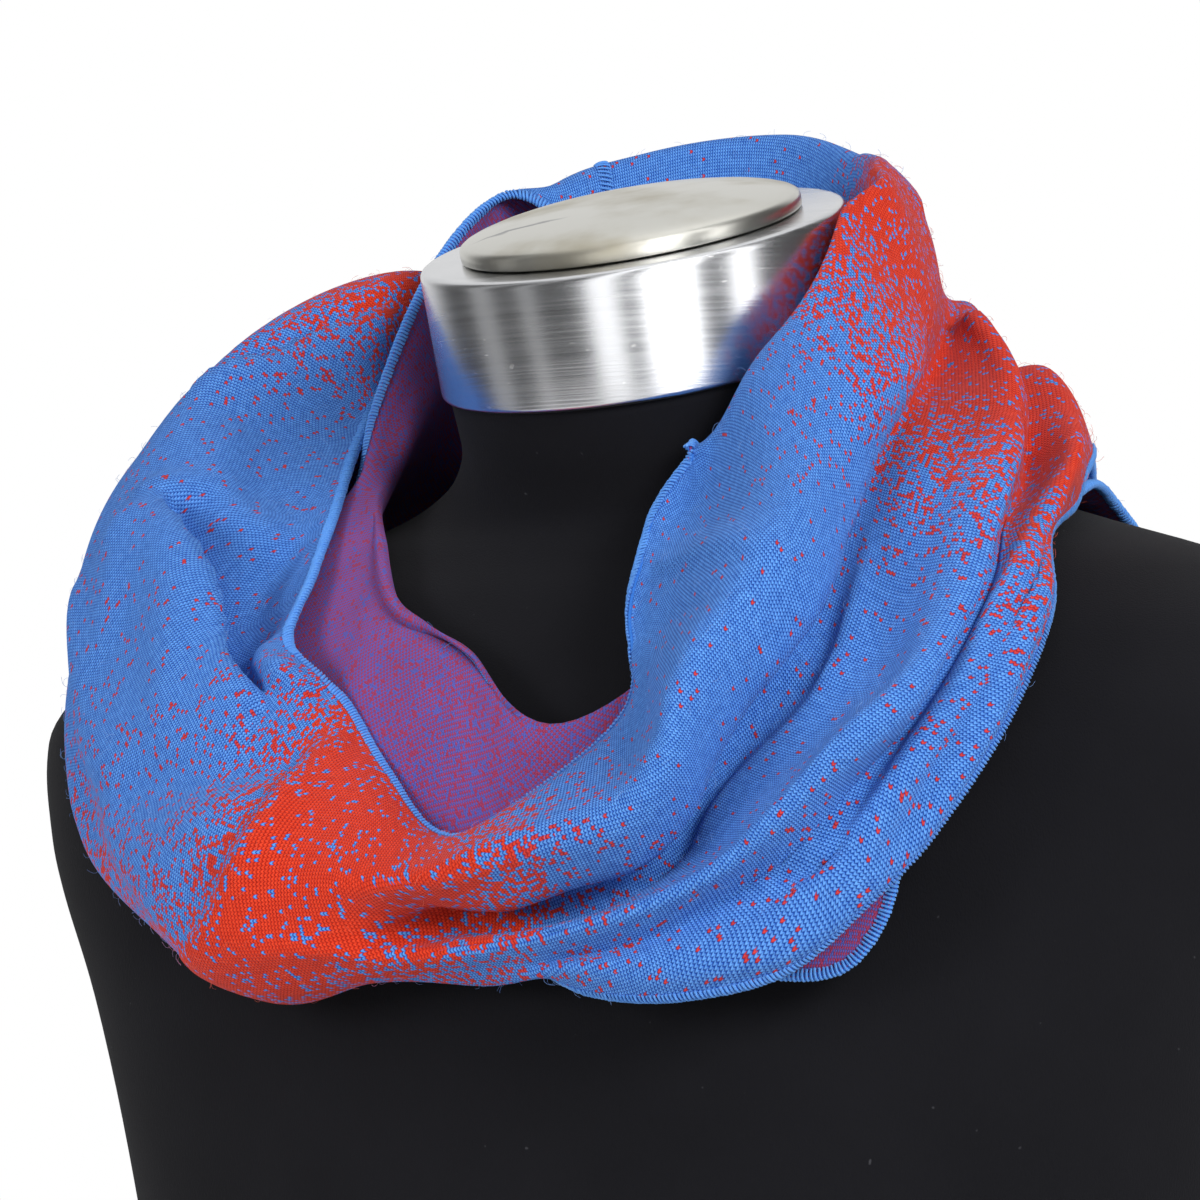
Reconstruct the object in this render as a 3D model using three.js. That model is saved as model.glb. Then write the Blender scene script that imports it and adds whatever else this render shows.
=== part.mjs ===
import * as THREE from 'three';

// Infinity scarf, wound twice round the neck of a limbless display bust. Millimetres, +Z up, front on -Y.
// Every point of the cloth is given by its turn round the neck and by how far out and how high it lies.

// Cloth sizes
const WALL = 1.5;              // thickness of the knitted cloth
const SEAM_GAP = 0.4;          // clear distance between two stretches of the cloth
const CELLS_BETWEEN_LINES = 3; // cells from one named line to the next, across the cloth

// Bust sizes
const NECK_TILT = 13;          // forward lean of the neck cap, degrees
const CAP_TOP = { y: -12, z: 430 };
const CAP_RADIUS = 55;
const CAP_HEIGHT = 33.3;
const PLATE_RADIUS = 44;
const FORM_SEGMENTS = 52;
const CAP_SEGMENTS = 48;

// The bust from the base up: centre line, lean, half width, depth to the front and back, corner power
const FORM_RINGS = [
  // z, y, lean, half_width, front, back, power
  [0, 0, 0, 139, 92, 88, 2.4],
  [4, 0, 0, 143, 96, 92, 2.4],
  [60, 0, 0, 144, 99, 93, 2.4],
  [130, 0, 0, 149, 106, 95, 2.4],
  [190, 0, 0, 156, 111, 97, 2.4],
  [240, 1, 0, 168, 109, 97, 2.4],
  [280, 3, 0, 187, 100, 92, 2.3],
  [305, 5, 0, 193, 90, 86, 2.2],
  [325, 8, 0, 178, 79, 76, 2.1],
  [340, 10, 0, 148, 69, 68, 2.0],
  [352, 12, 1, 108, 61, 60, 2.0],
  [362, 11, 4, 78, 56, 56, 2.0],
  [373, 7, 8, 61, 54, 54, 2.0],
  [385, 1, 12, 54, 53, 53, 2.0],
  [397.3, -4.4, 13, 53, 53, 53, 2.0],
];
const FORM_LEVELS = [0, 4, 60, 130, 170, 205, 240, 262, 280, 293, 305, 315, 325, 333, 340, 346, 352, 357, 362,
  367, 373, 379, 385, 391, 397.3];

// Eight named lines run along the whole cloth, from the edge at the neck to the hem
const LINES = ['edge', 'lap', 'roll', 'dip', 'ridge', 'trough', 'fold', 'hem'];
const ACROSS = [0, 0.13, 0.26, 0.4, 0.62, 0.74, 0.86, 1];

// One row for each section of the cloth. The turn runs from the middle of the back over the right shoulder,
// twice round; the leads turn the edge and the hem on from there; out and up place the eight lines.
const SECTIONS = [
  // section, turn, edge_lead, hem_lead, [out of each line], [up of each line]
  ['upper back 1', -60, 0, 0, [75, 81, 87, 92, 102, 113, 124, 136], [446, 443, 424, 400, 373, 361, 351, 339]],
  ['upper back 2', -49, 0, 0, [67, 73, 83, 90, 96, 101, 108, 117], [436, 448, 443, 418, 386, 371, 358, 345]],
  ['upper back 3', -30, 0, 0, [62, 71, 82, 89, 95, 98, 101, 106], [414, 453, 447, 424, 391, 373, 354, 335]],
  ['upper back 4', 0, 0, 0, [63, 73, 84, 89, 93, 95, 98, 102], [404, 455, 446, 424, 393, 370, 348, 327]],
  ['upper back 5', 30, 0, 0, [58, 64, 76, 82, 90, 94, 102, 110], [400, 446, 437, 416, 395, 376, 360, 342]],
  ['upper back 6', 48, 0, 0, [56, 59, 71, 76, 87, 90, 104, 112], [398, 445, 432, 410, 404, 384, 376, 354]],
  ['right 1', 64, 0, 0, [55, 57, 70, 72, 81, 83, 98, 108], [394, 443, 420, 400, 402, 389, 389, 367]],
  ['right 2', 80, 0, -2, [57, 61, 72, 70, 91, 93, 107, 111], [390, 439, 408, 389, 389, 377, 378, 364]],
  ['right 3', 97, 0, 4, [58, 58, 76, 74, 103, 103, 117, 115], [386, 430, 400, 383, 377, 362, 369, 355]],
  ['right 4', 114, -11, 10, [59, 69, 93, 87, 123, 117, 126, 121], [374, 406, 388, 366, 358, 351, 352, 347]],
  ['right 5', 128, -9, 14, [58, 68, 98, 104, 140, 137, 143, 141], [372, 389, 373, 343, 336, 334, 337, 329]],
  ['right 6', 140, -6, 17, [58, 72, 117, 120, 151, 145, 152, 149], [369, 362, 353, 317, 317, 313, 314, 304]],
  ['right 7', 150, -4, 20, [68, 92, 130, 121, 152, 145, 153, 151], [356, 344, 335, 303, 303, 299, 298, 286]],
  ['right 8', 158, 1, 22, [83, 108, 138, 123, 150, 144, 152, 150], [342, 328, 320, 294, 291, 285, 283, 273]],
  ['right 9', 166, 9, 23, [98, 118, 142, 124, 146, 139, 148, 146], [327, 315, 307, 284, 281, 275, 270, 257]],
  ['front 1', 175, 15, 22, [105, 124, 142, 125, 140, 134, 140, 138], [313, 304, 294, 276, 272, 265, 261, 251]],
  ['front 2', 184, 13, 21, [111, 128, 139, 123, 133, 128, 132, 127], [298, 292, 286, 270, 266, 260, 258, 252]],
  ['front 3', 195, 13, 21, [112, 128, 138, 125, 131, 125, 117, 112], [289, 285, 279, 271, 262, 258, 253, 263]],
  ['front 4', 207, 13, 19, [106, 124, 139, 141, 137, 129, 120, 112], [303, 295, 282, 268, 260, 255, 255, 266]],
  ['left 1', 219, 12, 17, [101, 119, 140, 148, 145, 137, 126, 118], [319, 309, 296, 276, 257, 251, 249, 263]],
  ['left 2', 230, 12, 12, [105, 117, 139, 151, 149, 145, 136, 128], [331, 322, 307, 288, 274, 266, 261, 271]],
  ['left 3', 243, 13, 8, [93, 107, 130, 151, 154, 156, 151, 146], [349, 339, 341, 317, 294, 286, 279, 285]],
  ['left 4', 258, 12, 10, [86, 106, 132, 153, 157, 162, 162, 152], [366, 364, 369, 354, 336, 320, 311, 321]],
  ['left 5', 272, 8, 10, [87, 105, 132, 150, 161, 166, 164, 150], [384, 389, 400, 385, 364, 347, 337, 345]],
  ['left 6', 288, 4, 4, [94, 101, 124, 136, 155, 163, 164, 152], [404, 423, 423, 404, 376, 356, 342, 347]],
  ['lower back 1', 305, 0, 0, [100, 105, 115, 125, 136, 142, 147, 148], [404, 418, 417, 398, 366, 346, 328, 311]],
  ['lower back 2', 322, 0, 0, [106, 112, 118, 122, 127, 130, 131, 129], [374, 380, 372, 352, 322, 303, 284, 262]],
  ['lower back 3', 342, 0, 0, [108, 112, 114, 116, 117, 117, 116, 114], [336, 335, 323, 304, 280, 264, 248, 228]],
  ['lower back 4', 362, 0, 0, [97, 99, 102, 105, 108, 109, 108, 107], [313, 304, 292, 280, 262, 248, 234, 216]],
  ['lower back 5', 385, 0, 0, [93, 98, 103, 108, 113, 115, 115, 115], [334, 324, 314, 302, 283, 269, 255, 240]],
  ['inner right 1', 400, 0, 0, [96, 102, 107, 111, 118, 121, 123, 123], [352, 342, 334, 325, 313, 304, 295, 287]],
  ['inner right 2', 412, -1, -1, [77, 84, 93, 102, 113, 118, 124, 129], [377, 369, 361, 354, 345, 340, 333, 326]],
  ['inner right 3', 425, 0, 0, [86, 80, 75, 80, 91, 98, 105, 113], [379, 381, 377, 371, 365, 361, 358, 355]],
  ['inner right 4', 445, -3, -3, [91, 82, 71, 75, 86, 93, 100, 107], [370, 374, 378, 369, 362, 359, 357, 355]],
  ['inner right 5', 465, -5, -5, [96, 86, 70, 75, 85, 92, 98, 105], [360, 365, 373, 363, 356, 353, 351, 348]],
  ['inner right 6', 485, -1, -1, [127, 100, 69, 75, 89, 97, 106, 115], [309, 342, 362, 352, 343, 337, 330, 322]],
  ['inner right 7', 503, 9, 0, [142, 116, 75, 80, 89, 100, 109, 116], [264, 306, 351, 339, 329, 316, 302, 288]],
  ['inner front 1', 520, 17, 2, [138, 114, 85, 88, 95, 102, 107, 111], [254, 294, 332, 321, 308, 296, 283, 271]],
  ['inner front 2', 540, 12, 8, [112, 105, 97, 95, 98, 100, 102, 104], [276, 293, 311, 299, 292, 286, 279, 273]],
  ['inner front 3', 560, 10, 8, [106, 96, 81, 84, 89, 95, 99, 103], [288, 309, 328, 318, 308, 299, 290, 279]],
  ['inner front 4', 580, 8, 10, [103, 89, 79, 83, 89, 97, 104, 110], [312, 330, 339, 330, 320, 310, 300, 287]],
  ['inner left 1', 598, 8, 8, [99, 83, 75, 77, 89, 101, 114, 127], [337, 349, 355, 349, 339, 329, 316, 300]],
  ['inner left 2', 613, 8, 8, [101, 88, 76, 78, 90, 108, 125, 143], [351, 360, 366, 357, 349, 341, 330, 317]],
  ['inner left 3', 624, 9, 10, [85, 81, 75, 79, 95, 115, 136, 155], [368, 374, 371, 362, 352, 345, 336, 325]],
  ['inner left 4', 633, 8, 12, [85, 80, 74, 81, 101, 126, 151, 172], [389, 385, 379, 368, 356, 349, 338, 326]],
  ['inner left 5', 646, 6, 6, [79, 79, 79, 86, 106, 126, 144, 158], [425, 408, 392, 377, 361, 353, 347, 339]],
];

// The stretches of cloth that show, each a piece of its own
const STRETCHES = [
  // name, from_turn, to_turn, cells_along, colour
  ['upper_back', -55, 55, 12, 0x3a5fb0],
  ['right_front', 55, 150, 17, 0x3f6cc4],
  ['front', 150, 215, 13, 0xc8402a],
  ['left_shoulder', 215, 300, 15, 0x3f6cc4],
  ['lower_back', 300, 425, 13, 0x3a5fb0],
  ['inner_right', 425, 516, 13, 0x6b4a86],
  ['inner_front', 516, 590, 12, 0x6b4a86],
  ['inner_left', 590, 665, 14, 0x6b4a86],
];
const ROUND_TWICE = 720;

const radians = (degrees) => (degrees * Math.PI) / 180;

// Interval of the table that holds the value
function interval(at, value) {
  let k = 0;
  while (k < at.length - 2 && at[k + 1] <= value) k += 1;
  return k;
}

// Smooth cubic through table rows, its slopes from the parabola of three neighbours
function slopes(at, values) {
  const n = at.length;
  const step = [];
  const rate = [];
  for (let i = 0; i < n - 1; i += 1) {
    step.push(at[i + 1] - at[i]);
    rate.push((values[i + 1] - values[i]) / step[i]);
  }
  const slope = new Array(n);
  for (let i = 1; i < n - 1; i += 1) {
    slope[i] = (rate[i - 1] * step[i] + rate[i] * step[i - 1]) / (step[i - 1] + step[i]);
  }
  slope[0] = 1.5 * rate[0] - 0.5 * slope[1];
  slope[n - 1] = 1.5 * rate[n - 2] - 0.5 * slope[n - 2];
  return slope;
}

// Slopes that never overshoot the rows, for the bust
function calmSlopes(at, values) {
  const n = at.length;
  const step = [];
  const rate = [];
  for (let i = 0; i < n - 1; i += 1) {
    step.push(at[i + 1] - at[i]);
    rate.push((values[i + 1] - values[i]) / step[i]);
  }
  const slope = new Array(n).fill(0);
  for (let i = 1; i < n - 1; i += 1) {
    if (rate[i - 1] * rate[i] > 0) {
      const before = 2 * step[i] + step[i - 1];
      const after = step[i] + 2 * step[i - 1];
      slope[i] = (before + after) / (before / rate[i - 1] + after / rate[i]);
    }
  }
  slope[0] = rate[0];
  slope[n - 1] = rate[n - 2];
  return slope;
}

function cubic(at, values, slope, value) {
  const k = interval(at, value);
  const h = at[k + 1] - at[k];
  const t = (value - at[k]) / h;
  const s = 1 - t;
  return values[k] * (1 + 2 * t) * s * s + values[k + 1] * t * t * (3 - 2 * t)
    + h * (slope[k] * t * s * s - slope[k + 1] * t * t * s);
}

function smooth(at, values) {
  const slope = slopes(at, values);
  return (value) => cubic(at, values, slope, value);
}

function calm(at, values) {
  const slope = calmSlopes(at, values);
  return (value) => cubic(at, values, slope, value);
}

// The section table carried on at both ends, so that the loop closes on itself
const BEFORE = SECTIONS.slice(-4).map(([name, turn, ...rest]) => [name, turn - ROUND_TWICE, ...rest]);
const AFTER = SECTIONS.slice(0, 4).map(([name, turn, ...rest]) => [name, turn + ROUND_TWICE, ...rest]);
const LOOP = [...BEFORE, ...SECTIONS, ...AFTER];
const TURNS = LOOP.map((row) => row[1]);
const edgeLead = smooth(TURNS, LOOP.map((row) => row[2]));
const hemLead = smooth(TURNS, LOOP.map((row) => row[3]));
const lineOut = LINES.map((line, i) => smooth(TURNS, LOOP.map((row) => row[4][i])));
const lineUp = LINES.map((line, i) => smooth(TURNS, LOOP.map((row) => row[5][i])));

// Middle of the cloth at a turn and a share of the width
function section(turn) {
  const out = smooth(ACROSS, lineOut.map((line) => line(turn)));
  const up = smooth(ACROSS, lineUp.map((line) => line(turn)));
  const lead = [edgeLead(turn), hemLead(turn)];
  return (across) => {
    const angle = radians(180 - turn + lead[0] + (lead[1] - lead[0]) * across);
    const r = out(across);
    return new THREE.Vector3(r * Math.sin(angle), -r * Math.cos(angle), up(across));
  };
}

// At a turn and a share of the width: the direction out of the right side, and the one square to the section
function directions(turn, across) {
  const d = 0.002;
  const here = section(turn);
  const over = here(Math.min(1, across + d)).sub(here(Math.max(0, across - d))).normalize();
  const along = section(turn + 0.3)(across).sub(section(turn - 0.3)(across));
  const facing = along.clone().cross(over).normalize();
  return { facing, onward: over.cross(facing).normalize() };
}

// Shares of the width at which the mesh has points: every named line and even steps between
function widthShares() {
  const shares = [];
  for (let i = 0; i < ACROSS.length - 1; i += 1) {
    for (let k = 0; k < CELLS_BETWEEN_LINES; k += 1) {
      shares.push(ACROSS[i] + ((ACROSS[i + 1] - ACROSS[i]) * k) / CELLS_BETWEEN_LINES);
    }
  }
  shares.push(1);
  return shares;
}

function solid(name, points, faces, colour, roughness, metalness) {
  const geometry = new THREE.BufferGeometry();
  geometry.setAttribute('position', new THREE.Float32BufferAttribute(points.flatMap((p) => [p.x, p.y, p.z]), 3));
  geometry.setIndex(faces.flat());
  geometry.computeVertexNormals();
  const material = new THREE.MeshStandardMaterial({ color: colour, roughness, metalness });
  material.name = name;
  const mesh = new THREE.Mesh(geometry, material);
  mesh.name = name;
  return mesh;
}

// A stretch of cloth with its true thickness, closed all round
function stretch([name, from, to, cells, colour]) {
  const shares = widthShares();
  const columns = shares.length;
  const points = [];
  for (const side of [1, -1]) {
    for (let i = 0; i <= cells; i += 1) {
      const turn = from + ((to - from) * i) / cells;
      const at = section(turn);
      const trim = i === 0 ? SEAM_GAP / 2 : i === cells ? -SEAM_GAP / 2 : 0;
      for (const share of shares) {
        const { facing, onward } = directions(turn, share);
        points.push(at(share).addScaledVector(onward, trim).addScaledVector(facing, (side * WALL) / 2));
      }
    }
  }
  const sheet = (cells + 1) * columns;
  const at = (side, i, j) => side * sheet + i * columns + j;
  const faces = [];
  const quad = (a, b, c, d) => faces.push([a, b, c], [a, c, d]);
  for (let i = 0; i < cells; i += 1) {
    for (let j = 0; j < columns - 1; j += 1) {
      quad(at(0, i, j), at(0, i + 1, j), at(0, i + 1, j + 1), at(0, i, j + 1));
      quad(at(1, i, j), at(1, i, j + 1), at(1, i + 1, j + 1), at(1, i + 1, j));
    }
    quad(at(0, i, 0), at(1, i, 0), at(1, i + 1, 0), at(0, i + 1, 0));
    quad(at(0, i, columns - 1), at(0, i + 1, columns - 1), at(1, i + 1, columns - 1), at(1, i, columns - 1));
  }
  for (let j = 0; j < columns - 1; j += 1) {
    quad(at(0, 0, j), at(0, 0, j + 1), at(1, 0, j + 1), at(1, 0, j));
    quad(at(0, cells, j), at(1, cells, j), at(1, cells, j + 1), at(0, cells, j + 1));
  }
  return solid(name, points, faces, colour, 0.85, 0);
}

// Rings of equal point count joined into a closed solid, with a flat first and last face
function loft(name, rings, colour, roughness, metalness) {
  const n = rings[0].length;
  const points = rings.flat();
  const faces = [];
  for (let i = 0; i < rings.length - 1; i += 1) {
    for (let k = 0; k < n; k += 1) {
      const a = i * n + k;
      const b = i * n + ((k + 1) % n);
      faces.push([a, b, b + n], [a, b + n, a + n]);
    }
  }
  const middle = (ring) => ring.reduce((sum, p) => sum.add(p), new THREE.Vector3()).divideScalar(n);
  const top = (rings.length - 1) * n;
  points.push(middle(rings[0]), middle(rings[rings.length - 1]));
  const low = points.length - 2;
  for (let k = 0; k < n; k += 1) {
    const next = (k + 1) % n;
    faces.push([low, next, k], [low + 1, top + k, top + next]);
  }
  return solid(name, points, faces, colour, roughness, metalness);
}

// The bust: smooth rings with soft corners, leaning forward at the neck
function bust() {
  const heights = FORM_RINGS.map((row) => row[0]);
  const [y, lean, halfWidth, front, back, power] = [1, 2, 3, 4, 5, 6].map(
    (column) => calm(heights, FORM_RINGS.map((row) => row[column])),
  );
  const rings = FORM_LEVELS.map((z) => {
    const ring = [];
    for (let k = 0; k < FORM_SEGMENTS; k += 1) {
      const angle = (2 * Math.PI * k) / FORM_SEGMENTS;
      const [c, s] = [Math.cos(angle), Math.sin(angle)];
      const round = (value) => Math.sign(value) * Math.abs(value) ** (2 / power(z));
      const depth = (s < 0 ? front(z) : back(z)) * round(s);
      const tilt = radians(lean(z));
      ring.push(new THREE.Vector3(halfWidth(z) * round(c), y(z) + depth * Math.cos(tilt), z + depth * Math.sin(tilt)));
    }
    return ring;
  });
  return loft('form_body', rings, 0x17171a, 0.95, 0);
}

// Turned parts of the neck cap: radius and height above the top face, along the leaning axis
const CAP_PROFILE = [
  // radius, height
  [53.8, -CAP_HEIGHT],
  [CAP_RADIUS, -CAP_HEIGHT + 1.2],
  [CAP_RADIUS, -1.4],
  [CAP_RADIUS - 1.4, 0],
];
const PLATE_PROFILE = [
  // radius, height
  [PLATE_RADIUS - 0.6, 0.3],
  [PLATE_RADIUS, 1],
  [PLATE_RADIUS, 3.2],
  [PLATE_RADIUS - 1.8, 4.8],
  [PLATE_RADIUS - 7, 6.4],
  [PLATE_RADIUS - 18, 8.2],
  [PLATE_RADIUS - 32, 9.2],
];

function turned(name, profile, colour, roughness) {
  const tilt = radians(NECK_TILT);
  const rings = profile.map(([radius, height]) => {
    const ring = [];
    for (let k = 0; k < CAP_SEGMENTS; k += 1) {
      const angle = (2 * Math.PI * k) / CAP_SEGMENTS;
      const along = radius * Math.sin(angle);
      ring.push(new THREE.Vector3(
        radius * Math.cos(angle),
        CAP_TOP.y + along * Math.cos(tilt) - height * Math.sin(tilt),
        CAP_TOP.z + along * Math.sin(tilt) + height * Math.cos(tilt),
      ));
    }
    return ring;
  });
  return loft(name, rings, colour, roughness, 1);
}

const part = new THREE.Group();
part.name = 'infinity_scarf_on_bust';
part.add(bust());
part.add(turned('neck_cap', CAP_PROFILE, 0xb9babc, 0.35));
part.add(turned('cap_plate', PLATE_PROFILE, 0xc9c9c4, 0.4));
for (const row of STRETCHES) part.add(stretch(row));

export default part;
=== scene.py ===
import math

import bmesh
import bpy
import numpy as np
from mathutils import Matrix, Vector


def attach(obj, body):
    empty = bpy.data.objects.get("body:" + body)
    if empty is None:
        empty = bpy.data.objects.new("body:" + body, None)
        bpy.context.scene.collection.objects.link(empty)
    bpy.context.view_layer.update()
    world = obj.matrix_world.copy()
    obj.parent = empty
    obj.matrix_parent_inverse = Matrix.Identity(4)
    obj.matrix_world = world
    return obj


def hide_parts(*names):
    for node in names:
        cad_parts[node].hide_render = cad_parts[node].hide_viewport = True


# An infinity scarf wound twice round the neck of a limbless display bust. The cloth, its edges and its seam
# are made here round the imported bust; sizes are in millimetres until a mesh is written.

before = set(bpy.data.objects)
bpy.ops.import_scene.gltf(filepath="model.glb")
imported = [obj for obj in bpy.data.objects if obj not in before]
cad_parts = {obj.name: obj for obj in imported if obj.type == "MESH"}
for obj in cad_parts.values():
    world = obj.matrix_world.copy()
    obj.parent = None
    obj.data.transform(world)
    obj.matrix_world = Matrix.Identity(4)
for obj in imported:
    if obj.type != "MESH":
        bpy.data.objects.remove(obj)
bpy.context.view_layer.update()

MM = 0.001
CLOTH = 1.2             # thickness of the knit
ROUND_TWICE = 720       # turn at which the loop meets its own start
SEAM_TURN = -39         # where the join seam crosses the cloth
EDGE_WIDTH = 2.4        # width of the overlocked edge
STITCH_STEP = 1.02      # from one overlock stitch to the next
SEAM_STEP = 1.3         # from one join stitch to the next
EDGE_THREAD = 0.41      # radius of the overlock's thread
SEAM_THREAD = 0.38      # radius of the join seam's thread
FIBRE_LENGTH = 3.2      # length of a loose fibre
FIBRES = 22000.0        # loose fibres on a square metre
COURSE = 0.86           # knit: from stitch to stitch along the cloth
WALE = 0.95             # knit: from column to column across it

# The stretches of the cloth, and how far apart their lines of points are, in degrees of turn
SAMPLING = [
    # from_turn, to_turn, step
    (-60, 50, 1.6),
    (50, 300, 0.92),
    (300, 425, 3.0),
    (425, 545, 1.9),
    (545, 660, 1.0),
]
POINTS_ACROSS = 88

# Eight lines run along the whole cloth, from the edge at the neck to the hem
ACROSS = [0, 0.13, 0.26, 0.4, 0.62, 0.74, 0.86, 1]

# Sections of the cloth. The turn runs from the middle of the back over the right shoulder, twice round; the
# leads turn the edge and the hem on from there; out and up place the eight lines.
SECTIONS = [
    # section, turn, edge lead, hem lead, out, up
    ("upper back 1", -60, 0, 0, (75, 81, 87, 92, 102, 113, 124, 136), (446, 443, 424, 400, 373, 361, 351, 339)),
    ("upper back 2", -49, 0, 0, (67, 73, 83, 90, 96, 101, 108, 117), (436, 448, 443, 418, 386, 371, 358, 345)),
    ("upper back 3", -30, 0, 0, (62, 71, 82, 89, 95, 98, 101, 106), (414, 453, 447, 424, 391, 373, 354, 335)),
    ("upper back 4", 0, 0, 0, (63, 73, 84, 89, 93, 95, 98, 102), (404, 455, 446, 424, 393, 370, 348, 327)),
    ("upper back 5", 30, 0, 0, (58, 64, 76, 82, 90, 94, 102, 110), (400, 446, 437, 416, 395, 376, 360, 342)),
    ("upper back 6", 48, 0, 0, (56, 59, 71, 76, 87, 90, 104, 112), (398, 445, 432, 410, 404, 384, 376, 354)),
    ("right 1", 64, 0, 0, (55, 57, 70, 72, 81, 83, 98, 108), (394, 443, 420, 400, 402, 389, 389, 367)),
    ("right 2", 80, 0, -2, (57, 61, 72, 70, 91, 93, 107, 111), (390, 439, 408, 389, 389, 377, 378, 364)),
    ("right 3", 97, 0, 4, (58, 58, 76, 74, 103, 103, 117, 115), (386, 430, 400, 383, 377, 362, 369, 355)),
    ("right 4", 114, -11, 10, (59, 69, 93, 87, 123, 117, 126, 121), (374, 406, 388, 366, 358, 351, 352, 347)),
    ("right 5", 128, -9, 14, (58, 68, 98, 104, 140, 137, 143, 141), (372, 389, 373, 343, 336, 334, 337, 329)),
    ("right 6", 140, -6, 17, (58, 72, 117, 120, 151, 145, 152, 149), (369, 362, 353, 317, 317, 313, 314, 304)),
    ("right 7", 150, -4, 20, (68, 92, 130, 121, 152, 145, 153, 151), (356, 344, 335, 303, 303, 299, 298, 286)),
    ("right 8", 158, 1, 22, (83, 108, 138, 123, 150, 144, 152, 150), (342, 328, 320, 294, 291, 285, 283, 273)),
    ("right 9", 166, 9, 23, (98, 118, 142, 124, 146, 139, 148, 146), (327, 315, 307, 284, 281, 275, 270, 257)),
    ("front 1", 175, 15, 22, (105, 124, 142, 125, 140, 134, 140, 138), (313, 304, 294, 276, 272, 265, 261, 251)),
    ("front 2", 184, 13, 21, (111, 128, 139, 123, 133, 128, 132, 127), (298, 292, 286, 270, 266, 260, 258, 252)),
    ("front 3", 195, 13, 21, (112, 128, 138, 125, 131, 125, 117, 112), (289, 285, 279, 271, 262, 258, 253, 263)),
    ("front 4", 207, 13, 19, (106, 124, 139, 141, 137, 129, 120, 112), (303, 295, 282, 268, 260, 255, 255, 266)),
    ("left 1", 219, 12, 17, (101, 119, 140, 148, 145, 137, 126, 118), (319, 309, 296, 276, 257, 251, 249, 263)),
    ("left 2", 230, 12, 12, (105, 117, 139, 151, 149, 145, 136, 128), (331, 322, 307, 288, 274, 266, 261, 271)),
    ("left 3", 243, 13, 8, (93, 107, 130, 151, 154, 156, 151, 146), (349, 339, 341, 317, 294, 286, 279, 285)),
    ("left 4", 258, 12, 10, (86, 106, 132, 153, 157, 162, 162, 152), (366, 364, 369, 354, 336, 320, 311, 321)),
    ("left 5", 272, 8, 10, (87, 105, 132, 150, 161, 166, 164, 150), (384, 389, 400, 385, 364, 347, 337, 345)),
    ("left 6", 288, 4, 4, (94, 101, 124, 136, 155, 163, 164, 152), (404, 423, 423, 404, 376, 356, 342, 347)),
    ("lower back 1", 305, 0, 0, (100, 105, 115, 125, 136, 142, 147, 148), (404, 418, 417, 398, 366, 346, 328, 311)),
    ("lower back 2", 322, 0, 0, (106, 112, 118, 122, 127, 130, 131, 129), (374, 380, 372, 352, 322, 303, 284, 262)),
    ("lower back 3", 342, 0, 0, (108, 112, 114, 116, 117, 117, 116, 114), (336, 335, 323, 304, 280, 264, 248, 228)),
    ("lower back 4", 362, 0, 0, (97, 99, 102, 105, 108, 109, 108, 107), (313, 304, 292, 280, 262, 248, 234, 216)),
    ("lower back 5", 385, 0, 0, (93, 98, 103, 108, 113, 115, 115, 115), (334, 324, 314, 302, 283, 269, 255, 240)),
    ("inner right 1", 400, 0, 0, (96, 102, 107, 111, 118, 121, 123, 123), (352, 342, 334, 325, 313, 304, 295, 287)),
    ("inner right 2", 412, -1, -1, (77, 84, 93, 102, 113, 118, 124, 129), (377, 369, 361, 354, 345, 340, 333, 326)),
    ("inner right 3", 425, 0, 0, (86, 80, 75, 80, 91, 98, 105, 113), (379, 381, 377, 371, 365, 361, 358, 355)),
    ("inner right 4", 445, -3, -3, (91, 82, 71, 75, 86, 93, 100, 107), (370, 374, 378, 369, 362, 359, 357, 355)),
    ("inner right 5", 465, -5, -5, (96, 86, 70, 75, 85, 92, 98, 105), (360, 365, 373, 363, 356, 353, 351, 348)),
    ("inner right 6", 485, -1, -1, (127, 100, 69, 75, 89, 97, 106, 115), (309, 342, 362, 352, 343, 337, 330, 322)),
    ("inner right 7", 503, 9, 0, (142, 116, 75, 80, 89, 100, 109, 116), (264, 306, 351, 339, 329, 316, 302, 288)),
    ("inner front 1", 520, 17, 2, (138, 114, 85, 88, 95, 102, 107, 111), (254, 294, 332, 321, 308, 296, 283, 271)),
    ("inner front 2", 540, 12, 8, (112, 105, 97, 95, 98, 100, 102, 104), (276, 293, 311, 299, 292, 286, 279, 273)),
    ("inner front 3", 560, 10, 8, (106, 96, 81, 84, 89, 95, 99, 103), (288, 309, 328, 318, 308, 299, 290, 279)),
    ("inner front 4", 580, 8, 10, (103, 89, 79, 83, 89, 97, 104, 110), (312, 330, 339, 330, 320, 310, 300, 287)),
    ("inner left 1", 598, 8, 8, (99, 83, 75, 77, 89, 101, 114, 127), (337, 349, 355, 349, 339, 329, 316, 300)),
    ("inner left 2", 613, 8, 8, (101, 88, 76, 78, 90, 108, 125, 143), (351, 360, 366, 357, 349, 341, 330, 317)),
    ("inner left 3", 624, 9, 10, (85, 81, 75, 79, 95, 115, 136, 155), (368, 374, 371, 362, 352, 345, 336, 325)),
    ("inner left 4", 633, 8, 12, (85, 80, 74, 81, 101, 126, 151, 172), (389, 385, 379, 368, 356, 349, 338, 326)),
    ("inner left 5", 646, 6, 6, (79, 79, 79, 86, 106, 126, 144, 158), (425, 408, 392, 377, 361, 353, 347, 339)),
]

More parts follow.
